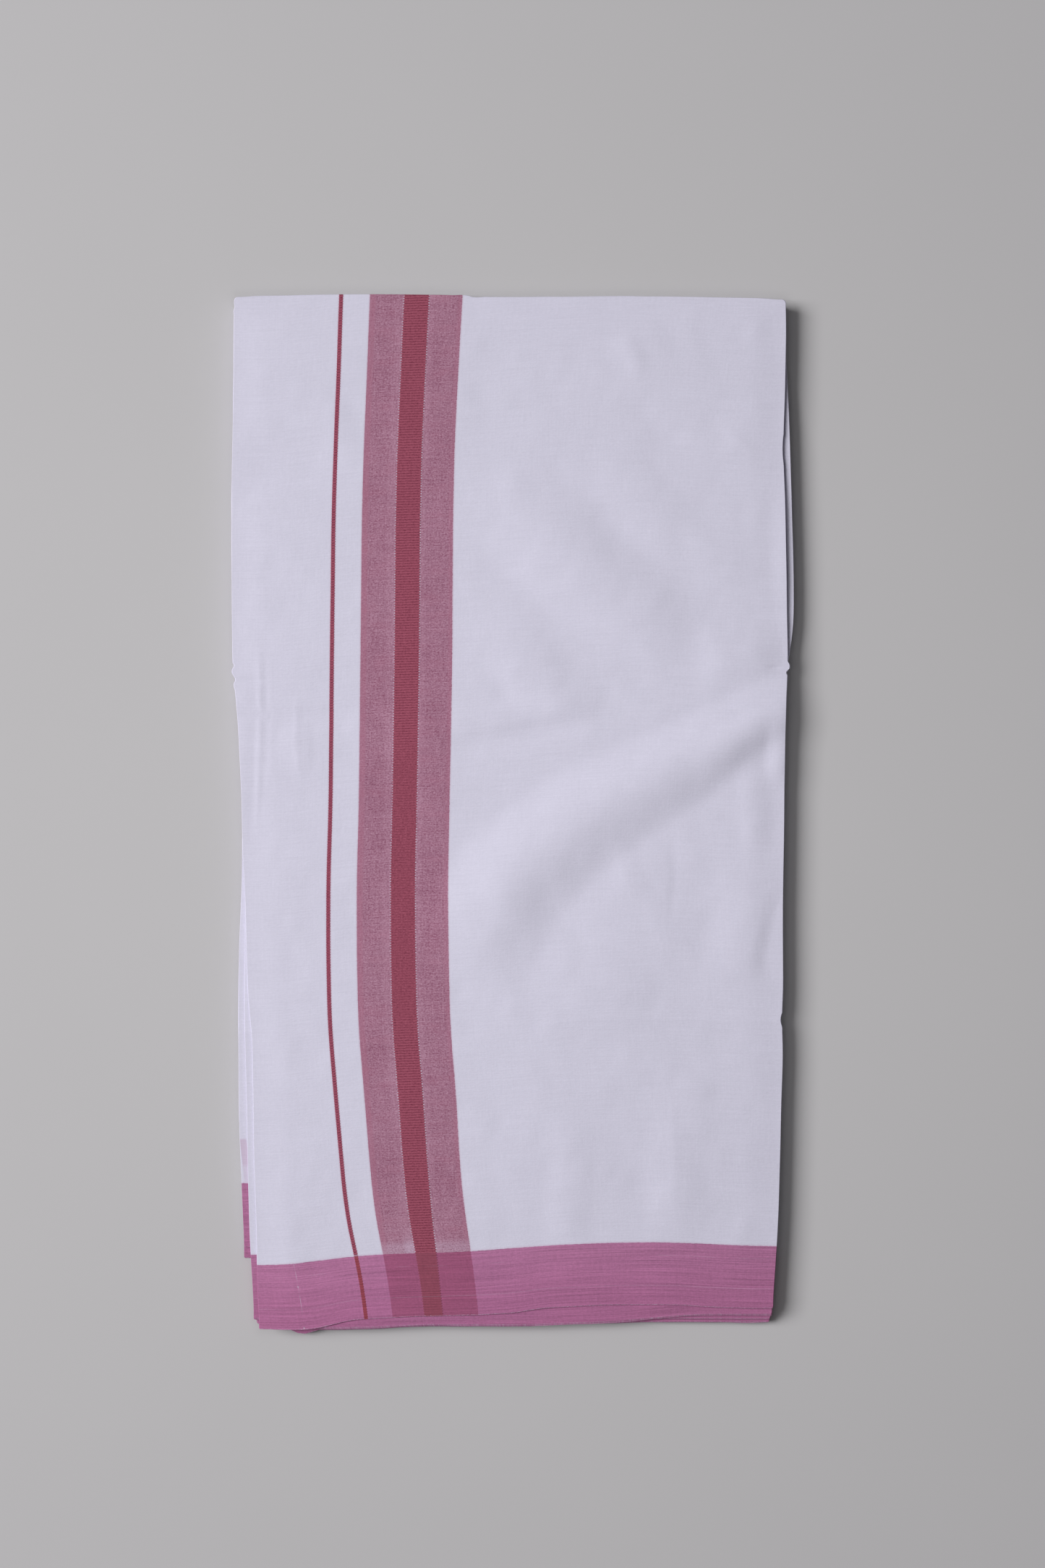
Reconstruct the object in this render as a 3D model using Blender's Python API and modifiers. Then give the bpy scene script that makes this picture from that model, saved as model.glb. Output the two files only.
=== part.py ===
"""Folded dhoti cloth, lying flat.

A cotton loom length is folded once along its length, so that its two selvedges lie together at the
front and the fold is at the back, and then across into twelve panels. A panel is two layers of
cloth and is built here as one wall. The panels that show are separate solids, and the hidden ones
share one solid with a rounded nose for each panel at its edges.

Frame: the origin is on the resting face, under the middle of the pile. +X runs along the selvedges,
+Y from the selvedges to the back fold, +Z up. Tables are in millimetres.
"""

import math
from collections import namedtuple

import bmesh
import bpy
from mathutils import Vector

MM = 0.001

# Driving dimensions: the cut of the cloth and how often it is folded across
CLOTH_LENGTH = 4000.0
LOOM_WIDTH = 1250.0
PANEL_COUNT = 12

# A panel is a twelfth of the length wide and half the loom width deep. Both are kept as the
# distance from the pile's middle to the panel's edge.
HALF_WIDTH = CLOTH_LENGTH / PANEL_COUNT / 2.0
HALF_DEPTH = LOOM_WIDTH / 2.0 / 2.0

# One panel, two panels joined at their fold, and one hidden panel pressed flat
WALL = 1.0
FOLD_WALL = 2.1
CORE_PANEL = 0.78
GAP = 0.3

CORNER_RADIUS = 3.5
EDGE_ROUND = 0.36
GROOVE_DEPTH = 0.9
NOSE_SHOULDER = 0.22

# The top panel lies this much looser inside its rim, which settles over this reach
SETTLED_LIFT = 0.5
RIM_REACH = 14.0

# A crease dies away over this part of its length
CREASE_FADE = 0.3

# Facets
TOP_COLUMNS = 28
TOP_ROWS = 52
SIDE_STEPS = 28
END_STEPS = 15
CORNER_STEPS = 3

# How far a panel draws in from the pile's outline at each edge
Draw = namedtuple("Draw", "left right back front")
AS_OUTLINED = Draw(0.0, 0.0, 0.0, 0.0)
SECOND_DRAW = Draw(0.0, 0.0, 0.6, 0.0)
LOWER_DRAW = Draw(0.3, 0.0, 0.5, 3.0)
BOTTOM_DRAW = Draw(0.8, 0.7, 1.1, 0.6)

# The hidden panels, from the lowest up
CORE_DRAWS = (
    Draw(0.5, 0.4, 0.6, 0.9),
    Draw(0.0, 0.9, 0.2, 0.0),
    Draw(0.9, 0.2, 0.8, 1.6),
    Draw(0.2, 1.1, 0.3, 0.5),
    Draw(1.2, 0.4, 1.0, 2.1),
    Draw(0.4, 0.8, 0.5, 1.0),
)

# Levels of the pile, from the resting face up
CORE_BASE = WALL + GAP
CORE_TOP = CORE_BASE + len(CORE_DRAWS) * CORE_PANEL
LOWER_FOLD_BASE = CORE_TOP + GAP
THIRD_BASE = LOWER_FOLD_BASE + FOLD_WALL + GAP
SECOND_BASE = THIRD_BASE + WALL + GAP
TOP_BASE = SECOND_BASE + WALL + GAP

# An edge is read at points along it. Its side rows run by y and its end rows by x, both from the
# middle of the pile, and out is how far the cloth reaches past the nominal panel there.
Edge = namedtuple("Edge", "along out")

TOP_LEFT = (
    Edge(-312, -13.0), Edge(-273, -11.9), Edge(-186, -9.7), Edge(-130, -9.0), Edge(-115, -6.4),
    Edge(-61, -5.1), Edge(-17, -3.1), Edge(5, -2.7), Edge(48, -0.9), Edge(70, 0.8), Edge(92, 3.0),
    Edge(136, 3.4), Edge(200, 3.4), Edge(245, 2.6), Edge(289, 2.1), Edge(311, 2.4),
)
TOP_RIGHT = (
    Edge(-300, -8.5), Edge(-281, -7.8), Edge(-260, -6.2), Edge(-234, -5.0), Edge(-192, -4.0),
    Edge(-137, -2.5), Edge(-125, -4.0), Edge(-113, -2.5), Edge(-61, -2.7), Edge(5, -1.8),
    Edge(64, -1.2), Edge(90, 0.4), Edge(128, -0.3), Edge(186, -1.2), Edge(221, -2.5),
    Edge(263, -1.2), Edge(307, -0.5),
)
TOP_BACK = (
    Edge(-165, 1.0), Edge(-153, 1.5), Edge(-87, 2.4), Edge(-34, 2.0), Edge(-21, 0.7),
    Edge(84, 1.1), Edge(150, 0.2), Edge(164, -0.8),
)
TOP_FRONT = (
    Edge(-154, 0.0), Edge(-125, 0.0), Edge(-92, -6.6), Edge(-54, -8.3), Edge(-20, -9.0),
    Edge(2, -10.3), Edge(21, -13.6), Edge(66, -15.2), Edge(98, -15.2), Edge(124, -13.6),
    Edge(158, -12.5),
)
SECOND_LEFT = (
    Edge(-305, -10.1), Edge(-277, -8.8), Edge(-261, -7.3), Edge(-199, -5.9), Edge(-117, -4.2),
    Edge(-61, -4.6), Edge(5, -3.7), Edge(48, -1.9), Edge(70, -0.2), Edge(92, 2.0), Edge(200, 2.4),
    Edge(311, 1.4),
)
SECOND_RIGHT = (
    Edge(-303, -9.3), Edge(-260, -7.2), Edge(-192, -5.0), Edge(-61, -3.7), Edge(64, -2.2),
    Edge(128, -1.3), Edge(221, -3.5), Edge(307, -1.5),
)
SECOND_FRONT = (
    Edge(-156, -7.9), Edge(-125, -1.4), Edge(-104, -0.8), Edge(-45, -2.9), Edge(8, -2.6),
    Edge(47, -4.1), Edge(66, -5.2), Edge(86, -7.1), Edge(105, -9.0), Edge(157, -9.0),
)
THIRD_LEFT = (
    Edge(-268, -4.2), Edge(-237, -2.9), Edge(-211, -1.8), Edge(-193, -0.7), Edge(-127, -0.3),
    Edge(-83, -0.7), Edge(-39, -2.5), Edge(5, -2.8), Edge(48, -1.3), Edge(70, 0.3), Edge(92, 2.4),
    Edge(200, 2.6), Edge(311, 1.6),
)
THIRD_RIGHT = (
    Edge(-304, -9.7), Edge(-260, -7.6), Edge(-192, -5.4), Edge(-61, -3.9), Edge(64, -2.5),
    Edge(128, -1.6), Edge(221, -3.1), Edge(307, -1.9),
)
THIRD_FRONT = (
    Edge(-162, -45.0), Edge(-140, -34.0), Edge(-100, -17.0), Edge(-40, -10.0), Edge(60, -9.6),
    Edge(157, -9.8),
)
PILE_LEFT = (
    Edge(-312, -11.0), Edge(-276, -9.8), Edge(-262, -6.4), Edge(-237, -3.6), Edge(-193, -1.6),
    Edge(-127, -1.1), Edge(-83, -1.5), Edge(-39, -3.3), Edge(5, -3.3), Edge(48, -1.7),
    Edge(70, 0.2), Edge(92, 2.6), Edge(136, 4.2), Edge(200, 4.2), Edge(245, 2.8), Edge(311, 2.2),
)
PILE_RIGHT = (
    Edge(-310, -9.7), Edge(-260, -7.4), Edge(-192, -5.2), Edge(-61, -3.7), Edge(64, -2.2),
    Edge(92, -0.6), Edge(128, 0.6), Edge(186, -0.6), Edge(221, -2.4), Edge(307, -1.7),
)
PILE_BACK = (
    Edge(-165, 0.2), Edge(-87, 1.6), Edge(-34, 1.3), Edge(-21, 0.3), Edge(84, 0.6), Edge(164, -1.2),
)
PILE_FRONT = (
    Edge(-155, -3.0), Edge(-138, 1.4), Edge(-121, 2.9), Edge(-104, 1.6), Edge(-45, -0.4),
    Edge(8, -0.1), Edge(47, -1.7), Edge(86, -2.9), Edge(156, -2.7),
)
FOLD_RIGHT = (
    Edge(-308, -10.1), Edge(-192, -5.6), Edge(-61, -4.1), Edge(64, -2.4), Edge(87, -0.4),
    Edge(98, 2.7), Edge(107, 4.0), Edge(120, 4.4), Edge(150, 4.0), Edge(186, 3.1), Edge(207, 2.4),
    Edge(238, 1.4), Edge(263, 0.1), Edge(307, -1.8),
)

# Soft creases of the top panel: height above the settled cloth (a trough is negative), half width
# at each end, whether it runs out over the edge at its far end, and its path in x and y
Crease = namedtuple("Crease", "height wide_from wide_to runs_off path")
CREASES = (
    Crease(1.5, 34, 17, True, ((-22, -64), (5, -35), (40, -6), (84, 22), (119, 42), (160, 77))),
    Crease(0.9, 20, 20, False, ((-10, 214), (29, 162), (66, 138), (108, 105))),
    Crease(0.7, 18, 14, False, ((0, 118), (29, 81), (56, 62))),
    Crease(0.5, 18, 18, False, ((46, 232), (66, 191), (128, 147), (150, 142))),
    Crease(0.6, 22, 16, False, ((79, -186), (80, -262))),
    Crease(-0.45, 16, 16, True, ((-120, 70), (-140, 68), (-166, 90))),
    Crease(-0.45, 18, 18, True, ((36, -124), (100, -126), (163, -125))),
)

# Colour, roughness
WHITE_COTTON = ((0.60, 0.58, 0.66, 1.0), 0.9)
SHADED_COTTON = ((0.52, 0.50, 0.57, 1.0), 0.9)
EDGE_COTTON = ((0.55, 0.50, 0.57, 1.0), 0.9)


def smooth(value):
    """Ease from 0 to 1."""
    value = min(1.0, max(0.0, value))
    return value * value * (3.0 - 2.0 * value)


def edge_out(rows, along):
    """How far an edge lies past the nominal panel, eased between its rows."""
    if along <= rows[0].along:
        return rows[0].out
    for low, high in zip(rows, rows[1:]):
        if along <= high.along:
            part = smooth((along - low.along) / (high.along - low.along))
            return low.out + (high.out - low.out) * part
    return rows[-1].out


def steps_between(start, end, steps):
    """Evenly spaced values from start to end."""
    return [start + (end - start) * step / steps for step in range(steps + 1)]


def corner_arc(centre, from_angle):
    """The points inside a rounded corner's quarter turn."""
    angles = [math.radians(from_angle + 90.0 * step / CORNER_STEPS) for step in range(1, CORNER_STEPS)]
    return [centre + CORNER_RADIUS * Vector((math.cos(angle), math.sin(angle))) for angle in angles]


class Leaf:
    """A panel's outline: four edges, each drawn in by its own amount."""

    def __init__(self, left, right, back, front, draw):
        self.left_rows = left
        self.right_rows = right
        self.back_rows = back
        self.front_rows = front
        self.draw = draw

    def left(self, y):
        return -HALF_WIDTH - edge_out(self.left_rows, y) + self.draw.left

    def right(self, y):
        return HALF_WIDTH + edge_out(self.right_rows, y) - self.draw.right

    def back(self, x):
        return HALF_DEPTH + edge_out(self.back_rows, x) - self.draw.back

    def front(self, x):
        return -HALF_DEPTH - edge_out(self.front_rows, x) + self.draw.front

    def corners(self):
        """Front left, front right, back right and back left."""
        front_left = self.front(self.front_rows[0].along)
        front_right = self.front(self.front_rows[-1].along)
        back_right = self.back(self.back_rows[-1].along)
        back_left = self.back(self.back_rows[0].along)
        return (
            Vector((self.left(front_left), front_left)),
            Vector((self.right(front_right), front_right)),
            Vector((self.right(back_right), back_right)),
            Vector((self.left(back_left), back_left)),
        )

    def ring(self, inset):
        """Points once round the outline, anticlockwise, drawn in by inset, with rounded corners."""
        front_left, front_right, back_right, back_left = self.corners()
        reach = CORNER_RADIUS + inset
        front = steps_between(front_left.x + reach, front_right.x - reach, END_STEPS)
        right = steps_between(front_right.y + reach, back_right.y - reach, SIDE_STEPS)
        back = steps_between(back_right.x - reach, back_left.x + reach, END_STEPS)
        left = steps_between(back_left.y - reach, front_left.y + reach, SIDE_STEPS)
        points = [Vector((x, self.front(x) + inset)) for x in front]
        points += corner_arc(front_right + Vector((-reach, reach)), -90.0)
        points += [Vector((self.right(y) - inset, y)) for y in right]
        points += corner_arc(back_right + Vector((-reach, -reach)), 0.0)
        points += [Vector((x, self.back(x) - inset)) for x in back]
        points += corner_arc(back_left + Vector((reach, -reach)), 90.0)
        points += [Vector((self.left(y) + inset, y)) for y in left]
        points += corner_arc(front_left + Vector((reach, reach)), 180.0)
        return points

    def place(self, across, along):
        """A point of the panel from fractions of its width and depth, blended from its four edges."""
        front_left, front_right, back_right, back_left = self.corners()
        side_y = front_left.y + (back_left.y - front_left.y) * along
        other_y = front_right.y + (back_right.y - front_right.y) * along
        front_x = front_left.x + (front_right.x - front_left.x) * across
        back_x = back_left.x + (back_right.x - back_left.x) * across
        left = Vector((self.left(side_y), side_y))
        right = Vector((self.right(other_y), other_y))
        front = Vector((front_x, self.front(front_x)))
        back = Vector((back_x, self.back(back_x)))
        between_sides = left.lerp(right, across)
        between_ends = front.lerp(back, along)
        from_corners = front_left.lerp(front_right, across).lerp(back_left.lerp(back_right, across), along)
        return between_sides + between_ends - from_corners


def crease_lift(crease, point):
    """Height that one crease adds at a point of the top panel."""
    path = [Vector(step) for step in crease.path]
    lengths = [(end - start).length for start, end in zip(path, path[1:])]
    total = sum(lengths)
    nearest = None
    walked = 0.0
    for start, end, length in zip(path, path[1:], lengths):
        along = max(0.0, min(1.0, (point - start).dot(end - start) / length ** 2))
        distance = (point - start.lerp(end, along)).length
        if nearest is None or distance < nearest[0]:
            nearest = (distance, (walked + along * length) / total)
        walked += length
    distance, fraction = nearest
    width = crease.wide_from + (crease.wide_to - crease.wide_from) * fraction
    if distance >= width:
        return 0.0
    fade = smooth(fraction / CREASE_FADE)
    if not crease.runs_off:
        fade *= smooth((1.0 - fraction) / CREASE_FADE)
    return crease.height * fade * (1.0 - (distance / width) ** 2) ** 2


def top_relief(leaf, point):
    """Height of the top panel over its settled level at the rim."""
    reach = min(
        point.x - leaf.left(point.y),
        leaf.right(point.y) - point.x,
        leaf.back(point.x) - point.y,
        point.y - leaf.front(point.x),
    )
    lift = SETTLED_LIFT * smooth(reach / RIM_REACH)
    lift += sum(crease_lift(crease, point) for crease in CREASES)
    return max(0.0, lift)


def material(name, finish):
    """A Principled material for a sub-part's cloth."""
    colour, roughness = finish
    made = bpy.data.materials.new(name)
    made.use_nodes = True
    shader = made.node_tree.nodes["Principled BSDF"]
    shader.inputs["Base Color"].default_value = colour
    shader.inputs["Roughness"].default_value = roughness
    shader.inputs["Metallic"].default_value = 0.0
    made.diffuse_color = colour
    return made


def add_object(name, mesh, finish, collection):
    """Put a mesh into the collection as a named sub-part, smooth but for its sharp edges."""
    mesh.materials.append(material(name, finish))
    mesh.shade_smooth()
    mesh.set_sharp_from_angle(angle=math.radians(50))
    piece = bpy.data.objects.new(name, mesh)
    collection.objects.link(piece)
    return piece


def flat_panel(name, leaf, base, thickness, finish, collection):
    """A panel that lies flat: its outline as a filled curve with rounded edges, made a mesh."""
    curve = bpy.data.curves.new(name, "CURVE")
    curve.dimensions = "2D"
    curve.fill_mode = "BOTH"
    curve.extrude = (thickness / 2.0 - EDGE_ROUND) * MM
    curve.bevel_depth = EDGE_ROUND * MM
    curve.bevel_resolution = 0
    points = leaf.ring(EDGE_ROUND)
    spline = curve.splines.new("POLY")
    spline.points.add(len(points) - 1)
    for target, point in zip(spline.points, points):
        target.co = (point.x * MM, point.y * MM, 0.0, 1.0)
    spline.use_cyclic_u = True
    drawn = bpy.data.objects.new(name + "_outline", curve)
    collection.objects.link(drawn)
    bpy.context.view_layer.update()
    evaluated = drawn.evaluated_get(bpy.context.evaluated_depsgraph_get())
    mesh = bpy.data.meshes.new_from_object(evaluated)
    bpy.data.objects.remove(drawn)
    welded = bmesh.new()
    welded.from_mesh(mesh)
    bmesh.ops.remove_doubles(welded, verts=welded.verts, dist=0.01 * MM)
    bmesh.ops.translate(welded, verts=welded.verts, vec=(0.0, 0.0, (base + thickness / 2.0) * MM))
    bmesh.ops.recalc_face_normals(welded, faces=welded.faces)
    welded.to_mesh(mesh)
    welded.free()
    mesh.name = name
    mesh.materials.clear()
    return add_object(name, mesh, finish, collection)


def top_panel(name, leaf, finish, collection):
    """The panel on top: a grid laid into its outline and lifted along its creases, with a wall."""
    grid = bmesh.new()
    bmesh.ops.create_grid(grid, x_segments=TOP_COLUMNS, y_segments=TOP_ROWS, size=0.5)
    corner_pull = CORNER_RADIUS * (1.0 - math.cos(math.radians(45)))
    for vert in grid.verts:
        point = leaf.place(vert.co.x + 0.5, vert.co.y + 0.5)
        if len(vert.link_edges) == 2:
            point -= Vector((math.copysign(corner_pull, point.x), math.copysign(corner_pull, point.y)))
        height = TOP_BASE + WALL + top_relief(leaf, point)
        vert.co = Vector((point.x, point.y, height)) * MM
    mesh = bpy.data.meshes.new(name)
    grid.to_mesh(mesh)
    grid.free()
    piece = add_object(name, mesh, finish, collection)
    wall = piece.modifiers.new("wall", "SOLIDIFY")
    wall.thickness = WALL * MM
    wall.offset = -1.0
    rim = piece.modifiers.new("rounded rim", "BEVEL")
    rim.width = EDGE_ROUND * MM
    rim.segments = 2
    rim.limit_method = "ANGLE"
    rim.angle_limit = math.radians(60)
    return piece


def core_sections():
    """Outline and height of each ring up the hidden panels: a groove, then the panel's nose."""
    sections = []
    for index, draw in enumerate(CORE_DRAWS):
        leaf = Leaf(PILE_LEFT, PILE_RIGHT, PILE_BACK, PILE_FRONT, draw)
        low = CORE_BASE + index * CORE_PANEL
        sections.append((leaf.ring(GROOVE_DEPTH), low))
        sections.append((leaf.ring(0.0), low + NOSE_SHOULDER))
        sections.append((leaf.ring(0.0), low + CORE_PANEL - NOSE_SHOULDER))
    sections.append((leaf.ring(GROOVE_DEPTH), CORE_TOP))
    return sections


def folded_core(name, finish, collection):
    """The hidden panels: rings round the pile, joined one to the next and closed below and above."""
    loft = bmesh.new()
    rings = []
    for points, height in core_sections():
        verts = [loft.verts.new(Vector((point.x, point.y, height)) * MM) for point in points]
        edges = [loft.edges.new((vert, verts[index - 1])) for index, vert in enumerate(verts)]
        rings.append(edges)
    for lower, upper in zip(rings, rings[1:]):
        bmesh.ops.bridge_loops(loft, edges=lower + upper)
    bmesh.ops.holes_fill(loft, edges=rings[0] + rings[-1], sides=0)
    bmesh.ops.triangulate(loft, faces=[face for face in loft.faces if len(face.verts) > 4])
    bmesh.ops.recalc_face_normals(loft, faces=loft.faces)
    mesh = bpy.data.meshes.new(name)
    loft.to_mesh(mesh)
    loft.free()
    return add_object(name, mesh, finish, collection)


def main():
    for existing in list(bpy.data.objects):
        bpy.data.objects.remove(existing)
    cloth = bpy.data.collections.new("folded_dhoti")
    bpy.context.scene.collection.children.link(cloth)

    top = Leaf(TOP_LEFT, TOP_RIGHT, TOP_BACK, TOP_FRONT, AS_OUTLINED)
    second = Leaf(SECOND_LEFT, SECOND_RIGHT, PILE_BACK, SECOND_FRONT, SECOND_DRAW)
    third = Leaf(THIRD_LEFT, THIRD_RIGHT, PILE_BACK, THIRD_FRONT, AS_OUTLINED)
    lower = Leaf(PILE_LEFT, FOLD_RIGHT, PILE_BACK, PILE_FRONT, LOWER_DRAW)
    bottom = Leaf(PILE_LEFT, PILE_RIGHT, PILE_BACK, PILE_FRONT, BOTTOM_DRAW)

    flat_panel("bottom_leaf", bottom, 0.0, WALL, EDGE_COTTON, cloth)
    folded_core("folded_core", EDGE_COTTON, cloth)
    flat_panel("lower_fold", lower, LOWER_FOLD_BASE, FOLD_WALL, SHADED_COTTON, cloth)
    flat_panel("third_leaf", third, THIRD_BASE, WALL, SHADED_COTTON, cloth)
    flat_panel("second_leaf", second, SECOND_BASE, WALL, WHITE_COTTON, cloth)
    top_panel("top_leaf", top, WHITE_COTTON, cloth)


main()
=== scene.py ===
"""Folded dhoti cloth: its looks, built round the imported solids.

Each piece is a stack of cloth layers. Its top is a grid laid into the outline of its solid, and its
edges go down layer by layer: open selvedges at the front, rounded folds at the back and the sides.
The cloth's pattern follows a UV map named weave, in metres: u from the middle of the cross band, v
from the selvedge. Lengths are in metres unless a table says otherwise. +X runs along the selvedges,
+Y from the selvedges to the back fold, +Z up.
"""

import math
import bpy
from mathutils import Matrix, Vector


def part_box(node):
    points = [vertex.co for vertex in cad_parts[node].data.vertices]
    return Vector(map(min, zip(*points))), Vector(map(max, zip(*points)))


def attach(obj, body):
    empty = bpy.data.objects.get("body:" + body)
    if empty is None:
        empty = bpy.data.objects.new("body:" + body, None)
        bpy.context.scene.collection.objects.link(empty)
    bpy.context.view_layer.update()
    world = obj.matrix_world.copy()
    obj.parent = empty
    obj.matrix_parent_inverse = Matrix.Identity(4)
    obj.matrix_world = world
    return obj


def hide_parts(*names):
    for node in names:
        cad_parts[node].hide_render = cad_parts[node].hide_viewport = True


bl_info = {
    "name": "Folded Dhoti",
    "version": (1, 0, 0),
    "blender": (4, 5, 0),
    "location": "View3D > Sidebar > Dhoti",
    "description": "Dresses a folded cotton dhoti: its layers, borders, cross band, creases and stage",
    "category": "Object",
}

from collections import namedtuple

import bmesh
import bpy
import numpy as np
from bpy.props import FloatProperty, FloatVectorProperty, PointerProperty

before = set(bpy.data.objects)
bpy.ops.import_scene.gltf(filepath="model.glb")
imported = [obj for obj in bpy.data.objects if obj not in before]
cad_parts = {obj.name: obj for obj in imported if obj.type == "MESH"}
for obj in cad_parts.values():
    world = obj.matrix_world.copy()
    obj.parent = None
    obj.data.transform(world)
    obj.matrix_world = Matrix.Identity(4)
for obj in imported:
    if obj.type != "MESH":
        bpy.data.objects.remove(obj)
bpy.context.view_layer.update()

MM = 0.001

# A panel of the folded cloth: a twelfth of its 4 m length, by half of its 1.25 m loom width
PANEL_WIDTH = 4.0 / 12.0
PANEL_DEPTH = 1.25 / 2.0

# Widths in the weave map, which is scaled to them wherever the cloth is drawn in or skewed
BAND_WIDTH = 55.6 * MM
BORDER_WIDTH = 38.8 * MM

# Pieces fill their solid's height and this much of the gaps above and below it
GAP_FILLED = 0.1 * MM

# The top panel's creases make its solid taller than a panel, so it takes the next one's thickness
PANEL_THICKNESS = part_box("second_leaf")[1].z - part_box("second_leaf")[0].z + GAP_FILLED

# Corners are rounder at the folds than at the selvedges. An outline is read at this many stations
# along each edge, clear of its corners, and each is eased with its neighbours by these weights
FOLD_CORNER = 2.4 * MM
OPEN_CORNER = 0.9 * MM
CORNER_CLEAR = 4.5 * MM
EDGE_STATIONS = 90
EASING = (0.1, 0.25, 0.3, 0.25, 0.1)

# Grid lines in from each rim, in mm; the rest are a piece's own spacing apart
RIM_LINES = (0.0, 0.4, 0.9, 1.5, 2.1, 2.7, 3.4, 4.2)

# Rows down each layer's edge, as fractions of its thickness, the seam between two layers, and how
# deep a fold's groove may be
EDGE_ROWS = (0.0, 0.07, 0.25, 0.5, 0.75, 0.93, 1.0)
SEAM = 0.03 * MM
GROOVE_LIMIT = 0.26 * MM

# An edge that turns more than this is drawn sharp
SHARPEST = math.radians(55.0)

# How far the underside turns in before it is filled, and how near a corner a layer stops straying
UNDERSIDE_RING = 9.0 * MM
WANDER_FADE = 14.0 * MM

# One side of a piece: the noses of its folded or open edges from the top down, each with the
# layers that it takes in and how far it draws in from the solid, in mm
Nose = namedtuple("Nose", "layers draw")
Sides = namedtuple("Sides", "front back left right")

# A piece of the pile: its layers, their spacing in mm, how far edges wander in mm, and its sides
Layered = namedtuple("Layered", "layers spacing wander sides")

TOP_PANEL = Layered(2, 2.5, 0.25, Sides(
    front=(Nose(1, 0.0), Nose(1, 0.5)),
    back=(Nose(2, 0.0),),
    left=(Nose(2, 0.0),),
    right=(Nose(2, 0.0),),
))
SECOND_PANEL = Layered(2, 4.5, 0.3, Sides(
    front=(Nose(1, 0.0), Nose(1, -0.8)),
    back=(Nose(2, 0.2),),
    left=(Nose(2, 0.0),),
    right=(Nose(2, 0.2),),
))
THIRD_PANEL = Layered(2, 4.5, 0.3, Sides(
    front=(Nose(1, 6.8), Nose(1, 0.0)),
    back=(Nose(2, -0.3),),
    left=(Nose(2, 0.0),),
    right=(Nose(2, 0.0),),
))
LOWER_FOLD = Layered(4, 4.5, 0.35, Sides(
    front=(Nose(1, 0.0), Nose(1, 0.7), Nose(1, -0.3), Nose(1, 0.6)),
    back=(Nose(2, 0.0), Nose(2, 0.5)),
    left=(Nose(2, 0.3), Nose(2, -0.2)),
    right=(Nose(4, 0.0),),
))
FOLDED_CORE = Layered(12, 4.5, 0.45, Sides(
    front=(
        Nose(1, 0.6), Nose(1, 1.5), Nose(1, 0.2), Nose(1, 0.9), Nose(1, 1.9), Nose(1, 0.8),
        Nose(1, 0.1), Nose(1, 1.1), Nose(1, 0.5), Nose(1, 1.6), Nose(1, 0.9), Nose(1, 0.3),
    ),
    back=(Nose(2, 0.5), Nose(2, 0.9), Nose(2, 0.3), Nose(2, 0.8), Nose(2, 0.1), Nose(2, 0.6)),
    left=(Nose(4, 0.9), Nose(4, 0.2), Nose(4, 0.5)),
    right=(Nose(2, 0.6), Nose(4, 1.0), Nose(4, 0.2), Nose(2, 0.5)),
))
BOTTOM_PANEL = Layered(2, 4.5, 0.3, Sides(
    front=(Nose(1, 0.0), Nose(1, 0.6)),
    back=(Nose(2, 0.0),),
    left=(Nose(2, 0.0),),
    right=(Nose(2, 0.0),),
))

# Finer spacing of the top panel's grid, in mm: near its left edge, and where cross creases run
Window = namedtuple("Window", "start stop spacing")
TOP_ACROSS = (Window(0.0, 40.0, 1.3),)
TOP_ALONG = (Window(172.0, 206.0, 1.6), Window(352.0, 388.0, 1.6), Window(388.0, 413.0, 0.8))

# Small bumps of an outline, in mm: where along the edge, how far out, half width
Bump = namedtuple("Bump", "edge along out reach")
TOP_BUMPS = (
    Bump("left", 304.0, 0.4, 1.5), Bump("left", 306.5, -0.35, 1.6),
    Bump("left", 90.0, -0.6, 1.6), Bump("left", 86.2, 0.9, 2.4),
    Bump("left", 81.5, -0.8, 1.8), Bump("left", 77.6, 0.5, 2.2),
    Bump("right", 89.2, 1.3, 3.0), Bump("right", 86.0, -0.7, 2.0),
    Bump("right", -124.5, -0.9, 4.0), Bump("right", 221.0, -0.5, 9.0),
    Bump("back", -30.0, 0.5, 5.0), Bump("back", -22.0, -0.5, 4.0),
)
CORE_BUMPS = (Bump("front", -128.0, 2.6, 8.0),)

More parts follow.
